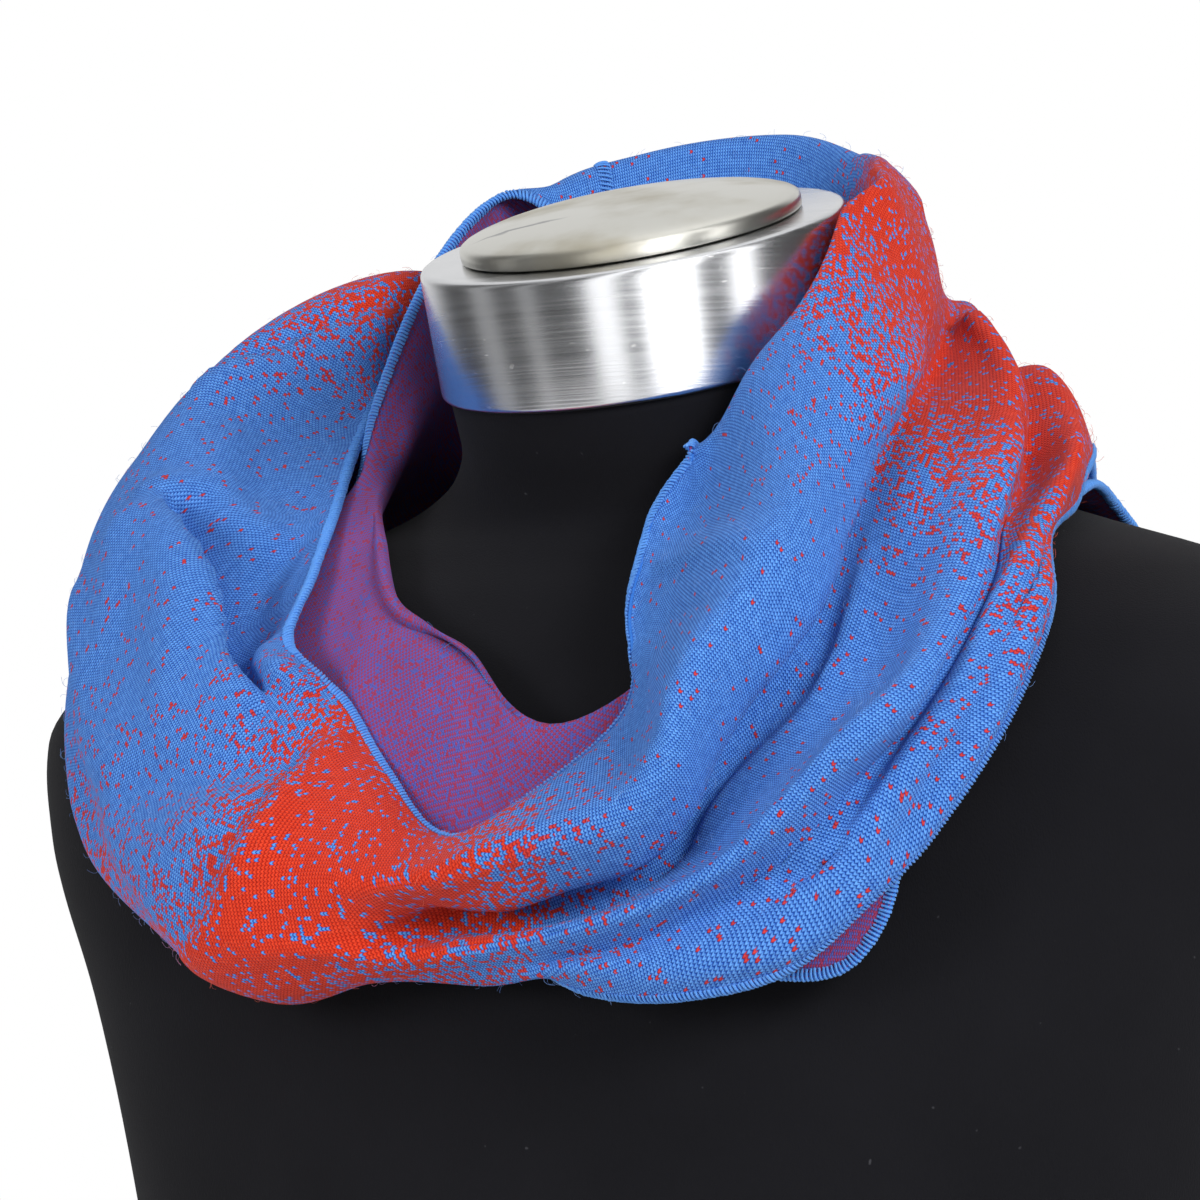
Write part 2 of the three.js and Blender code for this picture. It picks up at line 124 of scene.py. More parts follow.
# Share of red stitches on the right side, at the edge, one third, two thirds and the hem
RED_SHARE = [
    # turn, edge, third, two_thirds, hem
    (-60, 0.03, 0.02, 0.02, 0.02),
    (-30, 0.03, 0.02, 0.02, 0.02),
    (18, 0.01, 0.02, 0.02, 0.02),
    (34, 0.25, 0.30, 0.30, 0.30),
    (50, 0.72, 0.78, 0.80, 0.80),
    (70, 0.88, 0.90, 0.90, 0.88),
    (88, 0.84, 0.86, 0.90, 0.90),
    (100, 0.66, 0.70, 0.80, 0.90),
    (112, 0.40, 0.28, 0.42, 0.84),
    (120, 0.12, 0.10, 0.20, 0.66),
    (128, 0.03, 0.04, 0.08, 0.36),
    (138, 0.01, 0.02, 0.03, 0.08),
    (160, 0.01, 0.015, 0.03, 0.04),
    (172, 0.03, 0.04, 0.05, 0.05),
    (180, 0.12, 0.16, 0.12, 0.10),
    (187, 0.55, 0.60, 0.30, 0.20),
    (195, 0.86, 0.88, 0.66, 0.40),
    (205, 0.90, 0.90, 0.86, 0.80),
    (213.5, 0.90, 0.92, 0.92, 0.90),
    (216, 0.62, 0.42, 0.50, 0.60),
    (221, 0.34, 0.20, 0.36, 0.46),
    (228, 0.10, 0.10, 0.34, 0.42),
    (238, 0.03, 0.05, 0.26, 0.34),
    (250, 0.02, 0.03, 0.08, 0.14),
    (262, 0.02, 0.03, 0.03, 0.04),
    (270, 0.04, 0.05, 0.04, 0.04),
    (279, 0.20, 0.22, 0.10, 0.05),
    (286, 0.50, 0.70, 0.40, 0.20),
    (291, 0.70, 0.90, 0.60, 0.30),
    (302, 0.60, 0.88, 0.80, 0.60),
    (322, 0.08, 0.10, 0.10, 0.10),
    (340, 0.02, 0.02, 0.02, 0.02),
    (660, 0.03, 0.02, 0.02, 0.02),
]

# Where the orange starts across the chest: it follows the front ridge
ORANGE_LINE = [
    # across, turn
    (0, 217), (0.13, 214), (0.25, 212.4), (0.43, 215.6), (0.655, 223), (1, 235),
]

# Folds and creases laid on the main shape: ridges rise towards the right side, troughs sink
FOLDS = [
    # name, rise, slide, reach to the edge side, reach to the hem side, [(turn, across), ...]
    # Over the shoulder at the picture's right
    ("roll", 4.5, 6, 14, 7, [(90, 0.25), (100, 0.275), (112, 0.315), (123, 0.325), (132, 0.32), (140, 0.315),
        (147, 0.315), (157, 0.32), (165, 0.32), (177, 0.33), (186, 0.35), (194, 0.4)]),
    ("under the roll", -7, -3, 5, 6, [(88, 0.31), (100, 0.33), (112, 0.36), (123, 0.37), (132, 0.362),
        (140, 0.358), (147, 0.358), (157, 0.362), (165, 0.362), (177, 0.37),
        (186, 0.395), (194, 0.45), (203, 0.54)]),
    ("second panel", 5.5, 0, 9, 10, [(96, 0.44), (108, 0.46), (116, 0.46), (125, 0.45), (134, 0.44), (141, 0.44),
        (148, 0.45), (156, 0.45), (165, 0.45), (178, 0.44)]),
    ("second fold", 2.4, 0, 9, 5, [(98, 0.6), (108, 0.58), (114, 0.575), (121, 0.565), (130, 0.58), (136, 0.61),
        (141, 0.655), (146, 0.7), (150, 0.73), (155, 0.745), (162, 0.745), (170, 0.73)]),
    ("valley 2", -2.5, 0, 4, 3.5, [(98, 0.69), (108, 0.67), (114, 0.66), (121, 0.65), (130, 0.66), (136, 0.685),
        (141, 0.725), (146, 0.77), (150, 0.8), (155, 0.825), (162, 0.835), (168, 0.845),
        (175, 0.86), (182, 0.85)]),
    ("third fold", 3, 1, 6, 4, [(102, 0.84), (110, 0.845), (118, 0.825), (126, 0.8), (131, 0.795), (138, 0.81),
        (144, 0.84), (150, 0.88), (156, 0.905), (161, 0.91)]),
    ("valley 3", -3.5, 0, 3, 2.6, [(112, 0.91), (118, 0.89), (126, 0.86), (131, 0.85), (138, 0.86),
        (144, 0.885), (150, 0.92), (156, 0.94)]),
    ("fourth fold", 3, 2, 4, 4, [(121, 0.94), (128, 0.925), (134, 0.915), (140, 0.925), (146, 0.945),
        (152, 0.965), (159, 0.965), (165, 0.95), (171, 0.925), (178, 0.93)]),
    ("neck edge, turned out", 3, -1, 6, 7, [(112, 0), (122, 0), (132, 0), (142, 0), (152, 0), (162, 0.01),
        (168, 0.02)]),
    ("inner panel crease", 3, 0, 10, 2.2, [(140, 0.28), (143, 0.234), (146, 0.179), (149, 0.127), (154.3, 0.02)]),
    ("inner panel hollow", -2, 0, 4, 8, [(145, 0.27), (149, 0.22), (153, 0.15), (159, 0.05)]),
    ("over the shoulder", 4, 0, 9, 7, [(58, 0.70), (66, 0.70), (74, 0.7), (84, 0.69), (92, 0.69)]),
    ("top of the second fold", -4.5, 0, 7, 7, [(42, 0.62), (50, 0.63), (57, 0.65), (64, 0.66)]),
    ("trough in the panel", -2.2, 0, 5, 9, [(108, 0.43), (116.4, 0.445), (123.2, 0.453), (128.8, 0.465),
        (134.1, 0.477), (140, 0.47)]),
    ("pressed crease", 0.9, 0, 1.6, 5, [(149.5, 0.28), (147.7, 0.31), (142, 0.36), (138.3, 0.43), (137, 0.5),
        (137.8, 0.58)]),
    ("soft ridge in the panel", 1.6, 0, 5, 6, [(136, 0.49), (138.8, 0.505), (143, 0.56), (147.5, 0.616),
        (152.2, 0.661), (157.5, 0.657), (162, 0.621)]),
    ("small tuck", -3, 0, 2, 3, [(156, 0.87), (159.2, 0.84), (161, 0.8), (163.5, 0.785)]),
    # Over the shoulder at the picture's left
    ("pinch, far side", 3.5, 0, 8, 9, [(246, 0.36), (251, 0.335), (255.7, 0.323), (258.6, 0.305)]),
    ("pinch, its rim", 3.5, 1, 6, 6, [(254, 0.33), (258.6, 0.305), (259.2, 0.28), (258.8, 0.249), (258, 0.2)]),
    ("pinch, sharp side", 10.5, -6, 2.4, 13, [(225, 0.12), (230, 0.15), (236, 0.195), (242, 0.225), (248, 0.245),
        (253.2, 0.258), (258.2, 0.28)]),
    ("pinch hollow", -9.5, 2, 8, 2.8, [(227, 0.10), (234, 0.15), (240, 0.185), (246, 0.205), (252, 0.225),
        (257, 0.25)]),
    ("hollow to the edge", -3, 0, 4.5, 7, [(242, 0.16), (246.6, 0.135), (249.8, 0.1), (253.5, 0.075), (262, 0.07)]),
    ("bulge beside the pinch", 4.5, 0, 8, 9, [(252, 0.09), (255, 0.13), (257.5, 0.18), (262, 0.2), (268, 0.19)]),
    ("tuck lip", 3.5, 4, 9, 3.5, [(270, 0.28), (273, 0.24), (275, 0.19), (278, 0.165), (281, 0.13), (287, 0.06)]),
    ("tuck", -4, 0, 3.5, 5, [(272, 0.31), (275.5, 0.25), (278, 0.2), (281, 0.17), (284, 0.13), (290, 0.06)]),
    # Across the chest
    ("front ridge", 5, 0, 3.5, 8, [(216, 0.06), (214, 0.13), (212.4, 0.251), (215.6, 0.426), (223, 0.655)]),
    ("side valley", -5, 0, 8, 10, [(214.6, 0.06), (217.1, 0.126), (222.9, 0.214), (231.1, 0.314), (237.3, 0.461),
        (247, 0.64)]),
    ("curl", 6, 0, 5, 4.5, [(222, 0.03), (226, 0.05), (230, 0.07), (234, 0.10), (236.5, 0.13)]),
    ("edge turned in", -3, -2, 6, 6, [(166, -0.02), (172, -0.01), (180, 0), (190, 0), (200, 0), (210, 0), (219, 0),
        (226, 0), (233, -0.02)]),
    ("bottom valley", -2.4, 0, 5, 6, [(203, 0.56), (200.2, 0.521), (195.4, 0.45), (186.4, 0.417), (181.2, 0.35),
        (175.6, 0.32)]),
    # Behind the neck, down the back and on the inner turn
    ("back crease", 2, 0, 5, 3, [(26, 0.17), (32, 0.2), (38, 0.235), (44, 0.25), (50, 0.24)]),
    ("back fold", 5, 2, 9, 4, [(-52, 0.62), (-38, 0.58), (-20, 0.55), (-2, 0.57), (16, 0.62),
        (34, 0.66), (48, 0.64)]),
    ("back trough", -4, 0, 7, 4, [(-46, 0.74), (-28, 0.7), (-8, 0.69), (12, 0.73), (30, 0.78)]),
    ("back, lower ridge", 2.5, 0, 6, 7, [(300, 0.86), (316, 0.8), (332, 0.77), (350, 0.8), (368, 0.84),
        (384, 0.83)]),
    ("back, lower trough", -2.5, 0, 5, 8, [(308, 0.68), (326, 0.62), (344, 0.6), (358, 0.63), (374, 0.69)]),
    ("inner edge, under the outer turn", 0.4, -5, 3, 7, [(528, 0), (545, 0), (565, 0), (585, 0), (603, 0),
        (618, 0)]),
    ("back, side tuck", -2.5, 0, 3, 6, [(292, 0.46), (300, 0.5), (309, 0.56), (320, 0.6)]),
]


# Curves through tables of numbers
def through(at, values, x):
    """Smooth cubic through table rows, its slopes from the parabola of three neighbours."""
    at = np.asarray(at, float)
    values = np.asarray(values, float)
    x = np.asarray(x, float)
    column = (-1,) + (1,) * (values.ndim - 1)
    step = np.diff(at).reshape(column)
    rate = np.diff(values, axis=0) / step
    slope = np.empty_like(values)
    slope[1:-1] = (rate[:-1] * step[1:] + rate[1:] * step[:-1]) / (step[1:] + step[:-1])
    slope[0] = 1.5 * rate[0] - 0.5 * slope[1]
    slope[-1] = 1.5 * rate[-1] - 0.5 * slope[-2]
    k = np.clip(np.searchsorted(at, x, side="right") - 1, 0, len(at) - 2)
    t = ((x - at[k]) / (at[k + 1] - at[k])).reshape(column)
    s = 1 - t
    return (values[k] * (1 + 2 * t) * s * s + values[k + 1] * t * t * (3 - 2 * t)
            + step[k] * (slope[k] * t * s * s - slope[k + 1] * t * t * s))


def without_overshoot(at, values, x):
    """Smooth cubic that never passes beyond its rows."""
    at = np.asarray(at, float)
    values = np.asarray(values, float)
    step = np.diff(at)
    rate = np.diff(values) / step
    slope = np.zeros(len(at))
    for i in range(1, len(at) - 1):
        if rate[i - 1] * rate[i] > 0:
            before = 2 * step[i] + step[i - 1]
            after = step[i] + 2 * step[i - 1]
            slope[i] = (before + after) / (before / rate[i - 1] + after / rate[i])
    slope[0] = rate[0]
    slope[-1] = rate[-1]
    k = np.clip(np.searchsorted(at, x, side="right") - 1, 0, len(at) - 2)
    t = (x - at[k]) / step[k]
    s = 1 - t
    return (values[k] * (1 + 2 * t) * s * s + values[k + 1] * t * t * (3 - 2 * t)
            + step[k] * (slope[k] * t * s * s - slope[k + 1] * t * t * s))


def unit(vectors):
    return vectors / (np.linalg.norm(vectors, axis=-1, keepdims=True) + 1e-12)


# The middle of the cloth
def loop_table():
    """The section table carried on at both ends, so that the loop closes on itself."""
    rows = ([(r[1] - ROUND_TWICE, *r[2:]) for r in SECTIONS[-4:]] + [r[1:] for r in SECTIONS]
            + [(r[1] + ROUND_TWICE, *r[2:]) for r in SECTIONS[:4]])
    columns = list(zip(*rows))
    return [np.array(column, float) for column in columns]


def cloth_points(turns, shares):
    """Points of the plain main shape, a row for each turn."""
    at, edge_lead, hem_lead, out, up = loop_table()
    first = through(at, edge_lead, turns)[:, None]
    last = through(at, hem_lead, turns)[:, None]
    radius = through(ACROSS, through(at, out, turns).T, shares).T
    height = through(ACROSS, through(at, up, turns).T, shares).T
    angle = np.radians(180 - turns[:, None] + first + (last - first) * shares[None, :])
    return np.stack([radius * np.sin(angle), -radius * np.cos(angle), height], -1)


def right_side(points):
    """Directions out of the right side of the closed loop of cloth."""
    along = np.roll(points, -1, 0) - np.roll(points, 1, 0)
    over = np.gradient(points, axis=1)
    return unit(np.cross(along, over))


def distance_to(path, turns, shares, along_scale, across_scale):
    """Signed distance on the cloth from a path, the share of the path reached, for every point."""
    best = np.full(along_scale.shape, 1e9)
    side = np.zeros(along_scale.shape)
    reached = np.zeros(along_scale.shape)
    away = np.zeros((2, *along_scale.shape))
    total = len(path) - 1
    for i in range(total):
        a = path[i]
        b = path[i + 1]
        au = (turns[:, None] - a[0]) * along_scale
        av = (shares[None, :] - a[1]) * across_scale
        bu = (b[0] - a[0]) * along_scale
        bv = (b[1] - a[1]) * across_scale
        t = np.clip((au * bu + av * bv) / (bu * bu + bv * bv + 1e-9), 0, 1)
        du = au - t * bu
        dv = av - t * bv
        d = np.hypot(du, dv)
        nearer = d < best
        best = np.where(nearer, d, best)
        side = np.where(nearer, bu * av - bv * au, side)
        reached = np.where(nearer, (i + t) / total, reached)
        size = np.hypot(bu, bv) + 1e-9
        away = np.where(nearer, np.stack([-bv / size, bu / size]), away)
    return best, side, reached, away


def folded(points, turns, shares):
    """The main shape with its folds."""
    normal = right_side(points)
    along_scale = np.linalg.norm(np.roll(points, -1, 0) - points, axis=-1)
    to_next = np.roll(turns, -1) - turns
    to_next[-1] += ROUND_TWICE
    along_scale /= to_next[:, None]
    across_scale = np.linalg.norm(np.gradient(points, axis=1), axis=-1) / np.gradient(shares)[None, :]
    along_scale = np.clip(along_scale, 0.8, 4)
    over = unit(np.gradient(points, axis=1))
    onward = unit(np.roll(points, -1, 0) - np.roll(points, 1, 0))
    moved = points.copy()
    for name, rise, slide, near, far, path in FOLDS:
        path = np.array(path, float)
        knots = np.linspace(0, 1, len(path))
        if len(path) > 2:
            path = through(knots, path, np.linspace(0, 1, 6 * (len(path) - 1) + 1))
        reach = 3 * max(near, far)
        low = path[:, 0].min() - reach
        high = path[:, 0].max() + reach
        rows = np.nonzero((turns >= low) & (turns <= high))[0]
        d, side, reached, away = distance_to(path, turns[rows], shares, along_scale[rows], across_scale[rows])
        width = np.where(side > 0, far, near)
        ends = np.sin(np.pi * np.clip(reached, 0, 1)) ** 0.6
        swell = ends * np.exp(-((d / width) ** 2))
        aside = onward[rows] * away[0][..., None] + over[rows] * away[1][..., None]
        moved[rows] += (normal[rows] * rise + aside * slide) * swell[..., None]
    return moved


def along_turns():
    turns = []
    for start, end, step in SAMPLING:
        count = round((end - start) / step)
        turns += [start + (end - start) * i / count for i in range(count)]
    return np.array(turns)


def cloth_sheet():
    """The scarf's cloth: a thin closed shell, with its right side out and real lengths as its UV map."""
    turns = along_turns()
    shares = np.linspace(0, 1, POINTS_ACROSS)
    points = folded(cloth_points(turns, shares), turns, shares)
    normal = right_side(points)
    rows = len(turns)
    columns = len(shares)
    shell = np.concatenate([points + normal * CLOTH / 2, points - normal * CLOTH / 2]).reshape(-1, 3)
    at = np.arange(rows * columns).reshape(rows, columns)
    ahead = np.roll(at, -1, 0)
    outer = np.stack([at[:, :-1], ahead[:, :-1], ahead[:, 1:], at[:, 1:]], -1).reshape(-1, 4)
    under = rows * columns
    inner = outer[:, ::-1] + under
    edge = np.stack([at[:, 0], at[:, 0] + under, ahead[:, 0] + under, ahead[:, 0]], -1)
    hem = np.stack([at[:, -1], ahead[:, -1], ahead[:, -1] + under, at[:, -1] + under], -1)
    faces = np.concatenate([outer, inner, edge, hem])
    mesh = bpy.data.meshes.new("scarf_cloth")
    mesh.from_pydata((shell * MM).tolist(), [], faces.tolist())
    mesh.polygons.foreach_set("use_smooth", np.ones(len(faces), bool))
    side = np.zeros(len(faces), np.int32)
    side[len(outer):2 * len(outer)] = 1
    mesh.polygons.foreach_set("material_index", side)
    # Real lengths, in millimetres: u along the cloth, v across it
    step = np.linalg.norm(np.roll(points, -1, 0) - points, axis=-1).mean(1)
    length = np.concatenate([[0], np.cumsum(step)])
    width = np.linalg.norm(np.diff(points, axis=1), axis=-1)
    breadth = np.concatenate([np.zeros((rows, 1)), np.cumsum(width, 1)], 1)
    breadth -= breadth[:, columns // 2:columns // 2 + 1]
    index = faces % under
    row = index // columns
    column = index % columns
    u = length[row]
    wraps = (row.max(1) == rows - 1) & (row.min(1) == 0)
    u[wraps] = np.where(row[wraps] == 0, length[-1], u[wraps])
    v = breadth[row, column]
    layer = mesh.uv_layers.new(name="cloth")
    layer.data.foreach_set("uv", np.stack([u, v], -1).reshape(-1).astype(np.float32))
    table = np.array(RED_SHARE)
    line = np.array(ORANGE_LINE)
    near_line = np.clip(1.5 - abs(turns - 220) / 26, 0, 1)[:, None]
    looked_up = turns[:, None] - near_line * (np.interp(shares, line[:, 0], line[:, 1]) - 215)[None, :]
    thirds = np.clip(shares * 3, 0, 2.999)
    columns_red = np.stack([np.interp(looked_up, table[:, 0], table[:, k]) for k in range(1, 5)])
    low = thirds.astype(int)
    part = thirds - low
    each = np.arange(columns)
    red = columns_red[low, :, each].T * (1 - part) + columns_red[low + 1, :, each].T * part
    attribute = mesh.attributes.new("red", "FLOAT", "POINT")
    attribute.data.foreach_set("value", np.tile(red.reshape(-1), 2).astype(np.float32))
    cloth = bpy.data.objects.new("scarf_cloth", mesh)
    bpy.context.collection.objects.link(cloth)
    return cloth, points, normal, turns, shares


# Materials, their nodes made from Python expressions
class Socket:
    """One output of a node. Sums and products of sockets and numbers add Math nodes."""

    def __init__(self, finish, output):
        self.finish = finish
        self.output = output

    def math(self, operation, *others):
        return self.finish.node("ShaderNodeMath", {"operation": operation}, (self, *others)).first()

    def __add__(self, other):
        return self.math("ADD", other)

    def __sub__(self, other):
        return self.math("SUBTRACT", other)

    def __rsub__(self, other):
        return self.finish.number(other).math("SUBTRACT", self)

    def __mul__(self, other):
        return self.math("MULTIPLY", other)

    def __truediv__(self, other):
        return self.math("DIVIDE", other)

    def __pow__(self, other):
        return self.math("POWER", other)

    def __lt__(self, other):
        return self.math("LESS_THAN", other)

    def __abs__(self):
        return self.math("ABSOLUTE")

    __radd__ = __add__
    __rmul__ = __mul__

    def floor(self):
        return self.math("FLOOR")

    def fract(self):
        return self.math("FRACT")

    def sin(self):
        return self.math("SINE")

    def at_most(self, other):
        return self.math("MINIMUM", other)

    def at_least(self, other):
        return self.math("MAXIMUM", other)

    def clamp(self):
        return self.at_least(0).at_most(1)

    def ramp(self, low, high):
        """0 at low, 1 at high, smooth between."""
        node = self.finish.node("ShaderNodeMapRange", {"interpolation_type": "SMOOTHSTEP"},
                                {"Value": self, "From Min": low, "From Max": high})
        return node["Result"]


class Made:
    """A node that was made, its outputs by name."""

    def __init__(self, finish, node):
        self.finish = finish
        self.made = node

    def __getitem__(self, name):
        return Socket(self.finish, self.made.outputs[name])

    def first(self):
        return Socket(self.finish, self.made.outputs[0])


class Finish:
    """A material under a plain name, with the numbers that are the same all over it."""

    def __init__(self, name, constants):
        self.material = bpy.data.materials.new(name)
        self.material.use_nodes = True
        self.tree = self.material.node_tree
        self.shader = self.tree.nodes["Principled BSDF"]
        for socket, value in constants.items():
            self.shader.inputs[socket].default_value = value

    def node(self, kind, settings=None, inputs=()):
        made = self.tree.nodes.new(kind)
        for setting, value in (settings or {}).items():
            setattr(made, setting, value)
        pairs = inputs.items() if isinstance(inputs, dict) else enumerate(inputs)
        for key, value in pairs:
            if isinstance(value, Socket):
                self.tree.links.new(value.output, made.inputs[key])
            else:
                made.inputs[key].default_value = value
        return Made(self, made)

    def number(self, value):
        return self.node("ShaderNodeMath", {"operation": "ADD"}, (value, 0.0)).first()

    def attribute(self, name):
        return self.node("ShaderNodeAttribute", {"attribute_name": name})["Fac"]

    def place(self, source="Object"):
        return self.node("ShaderNodeTexCoord")[source]

    def split(self, vector):
        made = self.node("ShaderNodeSeparateXYZ", None, (vector,))
        return made["X"], made["Y"], made["Z"]

    def joined(self, x, y, z=0.0):
        return self.node("ShaderNodeCombineXYZ", None, (x, y, z)).first()

    def scaled(self, vector, sizes):
        return self.node("ShaderNodeVectorMath", {"operation": "MULTIPLY"}, (vector, sizes)).first()

    def chance(self, vector):
        """A random number for each whole step of the vector."""
        return self.node("ShaderNodeTexWhiteNoise", {"noise_dimensions": "3D"}, {"Vector": vector})["Value"]

    def noise(self, vector, scale, detail=2.0, roughness=0.5):
        values = {"Vector": vector, "Scale": scale, "Detail": detail, "Roughness": roughness}
        return self.node("ShaderNodeTexNoise", None, values)["Fac"]

    def blend(self, factor, first, second, way="MIX"):
        made = self.node("ShaderNodeMix", {"data_type": "RGBA", "blend_type": way, "clamp_factor": True})
        node = made.made
        for key, value in ((0, factor), (6, first), (7, second)):
            if isinstance(value, Socket):
                self.tree.links.new(value.output, node.inputs[key])
            elif isinstance(value, tuple):
                node.inputs[key].default_value = (*value, 1)
            else:
                node.inputs[key].default_value = value
        return Socket(self, node.outputs[2])

    def shade(self, colour, factor):
        """A colour made darker or lighter by a number."""
        return self.blend(1.0, colour, self.joined(factor, factor, factor), "MULTIPLY")

    def bump(self, height, distance, strength=1.0):
        values = {"Height": height, "Distance": distance, "Strength": strength}
        return self.node("ShaderNodeBump", None, values).first()

    def use(self, **links):
        for name, socket in links.items():
            self.tree.links.new(socket.output, self.shader.inputs[name.replace("_", " ")])
        return self.material


def linear(red, green, blue):
    """A colour as seen on a screen, 0 to 255, as linear light."""
    return tuple(((c / 255 + 0.055) / 1.055) ** 2.4 if c > 10 else c / 3294 for c in (red, green, blue))


# Two tones for each colour of the knit's right side: the lighter one is painted highlight on the stitches' raised
# parts, the darker one painted shade on their low parts and in their gaps.
BLUE_PAINTED_SHADE = linear(16, 68, 166)
BLUE_PAINTED_HIGHLIGHT = linear(104, 164, 238)
RED_PAINTED_SHADE = linear(182, 34, 16)
RED_PAINTED_HIGHLIGHT = linear(226, 70, 40)


def stitches(finish, size=1.0):
    """Where each knitted stitch lies: its course, its column, how near its gaps, its height."""
    u, v, _ = finish.split(finish.place("UV"))
    column = v / (WALE * size)
    bent = abs(column.fract() - 0.5)
    course = u / (COURSE * size) + bent * 0.9
    row_wave = abs((course * math.pi).sin())
    column_wave = abs((column * math.pi).sin())
    height = (row_wave ** 0.6) * 0.65 + (column_wave ** 0.7) * 0.35
    gap = (1 - row_wave) * (0.35 + column_wave * 0.65)
    return course.floor(), column.floor(), gap, height


def knit_right_side():
    """Right side of the knit: one colour with stitches of the other scattered by chance."""
    f = Finish("knit_right_side", {"Roughness": 0.86, "Sheen Weight": 0.10, "Sheen Roughness": 0.45,
                                   "Specular IOR Level": 0.25})
    f.shader.inputs["Sheen Tint"].default_value = (*linear(190, 205, 240), 1)
    course, column, gap, height = stitches(f)
    red = f.attribute("red")
    here = f.joined(course, column, 3.0)
    pair = f.joined(course, ((column + course) / 2).floor(), 11.0)
    flock = f.noise(f.joined(course * 0.10, column * 0.12, 1.0), 1.0, 2.0, 0.6)
    wanted = (red + (flock - 0.5) * 1.7 * (red * (1 - red) * 2.2 + 0.012)).clamp()
    single = f.chance(here) < wanted * 0.94
    double = f.chance(pair) < wanted * wanted * 0.55
    mask = single.at_least(double)
    tone = f.noise(f.joined(course * 0.8, column * 0.9, 4.0), 0.5, 2.0)
    # From each stitch's height: painted highlight on its raised parts and painted shade on its low parts, mixed
    # with random tone; it picks between the lighter and darker tones of blue, of lone red and of full red.
    painted_highlight_and_tone = (height * 1.6 - 0.72 + (tone - 0.5) * 0.6).clamp()
    blue = f.blend(painted_highlight_and_tone, BLUE_PAINTED_SHADE, BLUE_PAINTED_HIGHLIGHT)
    lone = f.blend(painted_highlight_and_tone, linear(146, 30, 46), linear(210, 66, 66))
    full = f.blend(painted_highlight_and_tone, RED_PAINTED_SHADE, RED_PAINTED_HIGHLIGHT)
    colour = f.blend(mask, blue, f.blend(red.ramp(0.1, 0.5), lone, full))
    # Painted shade in the gaps between the stitches, times a random tone.
    shade = (1 - (gap ** 2) * 0.4) * (0.92 + tone * 0.16)
    colour = f.shade(colour, shade)
    mottled = mask * 0.25
    f.use(Base_Color=colour, Normal=f.bump(height + mottled, 0.00035, 0.75))
    return f.material


def knit_wrong_side():
    """Wrong side of the knit: red and blue stitches by turns, a fine birdseye."""
    f = Finish("knit_wrong_side", {"Roughness": 0.88, "Sheen Weight": 0.10, "Sheen Roughness": 0.5,
                                   "Specular IOR Level": 0.2})
    f.shader.inputs["Sheen Tint"].default_value = (*linear(200, 180, 230), 1)
    course, column, gap, height = stitches(f, 0.8)
    parity = ((course + column) / 2).fract() * 2
    stray = f.chance(f.joined(course, column, 7.0)) < 0.1
    mask = abs(parity - stray)
    colour = f.blend(mask * 0.9 + 0.05, linear(84, 92, 176), linear(158, 56, 88))
    flock = f.noise(f.joined(course * 0.05, column * 0.06, 2.0), 1.0, 2.0)
    # Painted shade in the gaps between the stitches, times a random broad tone.
    colour = f.shade(colour, (1 - (gap ** 2) * 0.45) * (0.84 + flock * 0.32))
    f.use(Base_Color=colour, Normal=f.bump(height, 0.0003, 0.7))
    return f.material


def overlock_thread():
    """Bright blue thread: fine twisted plies, a little fluffy."""
    f = Finish("overlock_thread", {"Roughness": 0.72, "Sheen Weight": 0.12, "Sheen Roughness": 0.4,
                                   "Specular IOR Level": 0.3})
    plies = f.noise(f.scaled(f.place(), (3200.0, 3200.0, 1400.0)), 1.0, 2.0)
    worn = f.noise(f.place(), 120.0, 2.0)
    colour = f.blend(plies * 0.7 + worn * 0.3, linear(40, 108, 204), linear(120, 180, 244))
    f.use(Base_Color=colour, Normal=f.bump(plies, 0.0002, 0.7))
    return f.material


def edge_filling():
    """The under threads between the overlock's loops, a darker blue than the loops as painted shade."""
    f = Finish("edge_filling", {"Roughness": 0.85, "Specular IOR Level": 0.2})
    plies = f.noise(f.scaled(f.place(), (2600.0, 2600.0, 2600.0)), 1.0, 2.0)
    f.use(Base_Color=f.blend(plies, linear(34, 96, 190), linear(78, 142, 226)),
          Normal=f.bump(plies, 0.0003, 0.8))
    return f.material


def loose_fibre():
    """The fine hairs that stand out of the knit, in its two colours."""
    f = Finish("loose_fibre", {"Roughness": 0.8, "Specular IOR Level": 0.2})
    pale = f.noise(f.place(), 300.0, 1.0)
    blue = f.blend(pale, linear(66, 112, 190), linear(150, 182, 230))
    red = f.blend(pale, linear(196, 60, 40), linear(232, 130, 110))
    f.use(Base_Color=f.blend(f.attribute("red").ramp(0.3, 0.7), blue, red))
    return f.material


def black_jersey():
    f = Finish("black_jersey", {"Roughness": 0.92, "Sheen Weight": 0.03, "Specular IOR Level": 0.12})
    weave = f.noise(f.scaled(f.place(), (2600.0, 2600.0, 900.0)), 1.0, 2.0)
    cloud = f.noise(f.place(), 22.0, 3.0)
    lint = f.noise(f.place(), 420.0, 1.0).ramp(0.79, 0.83)
    colour = f.blend(cloud * 0.6, linear(16, 16, 19), linear(30, 30, 34))
    colour = f.blend(lint * 0.35, colour, linear(90, 90, 95))
    f.use(Base_Color=colour, Normal=f.bump(weave, 0.00025, 0.6))
    return f.material


